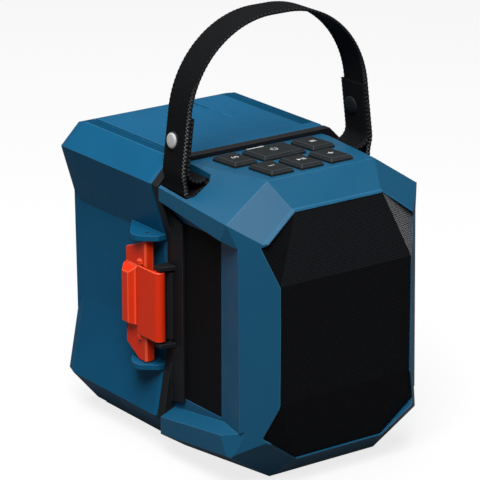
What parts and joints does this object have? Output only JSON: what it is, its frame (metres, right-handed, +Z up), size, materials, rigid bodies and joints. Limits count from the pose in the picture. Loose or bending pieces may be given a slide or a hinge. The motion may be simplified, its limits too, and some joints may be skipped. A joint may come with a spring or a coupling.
{
  "type": "bluetooth speaker",
  "caption": "Rugged portable jobsite speaker: faceted shell with a wedge grille, deck keys, a latched hinged battery cover and a webbing carry strap.",
  "frame": {"origin": "middle of the overall box on the floor under the feet", "axes": "+Z up, the front grille faces -Y, +X to the viewer's right when looking at the front"},
  "size_m": [0.163, 0.2126, 0.2905],
  "materials": {
    "shell_blue": "satin, fine grain",
    "cover_blue": "satin, fine grain",
    "latch_orange": "satin",
    "black_plastic": "matte, grained",
    "grille_black": "perforated, matte",
    "key_rubber": "matte",
    "foot_rubber": "matte",
    "webbing": "woven",
    "steel": "brushed",
    "rivet_steel": "polished",
    "board_green": "solder mask",
    "cone_black": "pressed pulp look",
    "contact_brass": "plain"
  },
  "bodies": {
    "speaker": {"front_housing": "shell_blue", "front_grille": "grille_black", "side_grille_left": "grille_black", "side_grille_right": "grille_black", "mid_frame": "black_plastic", "cover_seal": "foot_rubber", "hinge_pin": "steel", "latch_catch": "black_plastic", "strap_end_left": "webbing", "strap_end_right": "webbing", "strap_rods": "black_plastic", "key_board": "board_green", "key_switches": "steel", "main_board": "board_green", "baffle": "black_plastic", "woofer_basket": "black_plastic", "woofer_surround": "foot_rubber", "woofer_cone": "cone_black", "woofer_cap": "cone_black", "woofer_magnet": "steel", "side_radiators": "cone_black", "battery_dock": "black_plastic", "battery_terminals": "contact_brass", "battery_pack": "black_plastic", "front_feet": "foot_rubber", "frame_screws": "steel", "baffle_screws": "steel"},
    "cover": {"rear_cover": "cover_blue", "rear_feet": "foot_rubber", "latch_pin": "steel"},
    "handle": {"latch_handle": "latch_orange", "link_pin": "steel"},
    "link": {"latch_link": "latch_orange"},
    "strap": {"strap_arch": "webbing", "strap_rivets": "rivet_steel", "rivet_washers": "black_plastic"},
    "key_pair": {"key_pair": "key_rubber"},
    "key_power": {"key_power": "key_rubber"},
    "key_mode": {"key_mode": "key_rubber"},
    "key_volume_down": {"key_volume_down": "key_rubber"},
    "key_play": {"key_play": "key_rubber"},
    "key_volume_up": {"key_volume_up": "key_rubber"}
  },
  "joints": [
    {"name": "cover_hinge", "type": "hinge", "parent": "speaker", "child": "cover", "pos_m": [0.0775, -0.00147, 0.09975], "axis": [0, 0, -1], "range_deg": [0, 105]},
    {"name": "latch_lever", "type": "hinge", "parent": "cover", "child": "handle", "pos_m": [-0.072, 0.00877, 0.101], "axis": [0, 0, 1], "range_deg": [0, 80]},
    {"name": "latch_link_turn", "type": "hinge", "parent": "handle", "child": "link", "pos_m": [-0.076, 0.01162, 0.1015], "axis": [0, 0, 1], "range_deg": [-88, 0]},
    {"name": "strap_swing", "type": "hinge", "parent": "speaker", "child": "strap", "pos_m": [0, -0.02432, 0.19], "axis": [1, 0, 0], "range_deg": [-40, 60]},
    {"name": "key_pair_press", "type": "slide", "parent": "speaker", "child": "key_pair", "axis": [0, -0.0411, -0.9992], "range_m": [0, 0.001], "stiffness_N_per_m": 600},
    {"name": "key_power_press", "type": "slide", "parent": "speaker", "child": "key_power", "axis": [0, -0.0411, -0.9992], "range_m": [0, 0.001], "stiffness_N_per_m": 600},
    {"name": "key_mode_press", "type": "slide", "parent": "speaker", "child": "key_mode", "axis": [0, -0.0411, -0.9992], "range_m": [0, 0.001], "stiffness_N_per_m": 600},
    {"name": "key_volume_down_press", "type": "slide", "parent": "speaker", "child": "key_volume_down", "axis": [0, -0.0411, -0.9992], "range_m": [0, 0.001], "stiffness_N_per_m": 600},
    {"name": "key_play_press", "type": "slide", "parent": "speaker", "child": "key_play", "axis": [0, -0.0411, -0.9992], "range_m": [0, 0.001], "stiffness_N_per_m": 600},
    {"name": "key_volume_up_press", "type": "slide", "parent": "speaker", "child": "key_volume_up", "axis": [0, -0.0411, -0.9992], "range_m": [0, 0.001], "stiffness_N_per_m": 600}
  ],
  "couplings": [
    {"joint": "latch_link_turn", "follows": "latch_lever", "ratio": -1.1}
  ]
}
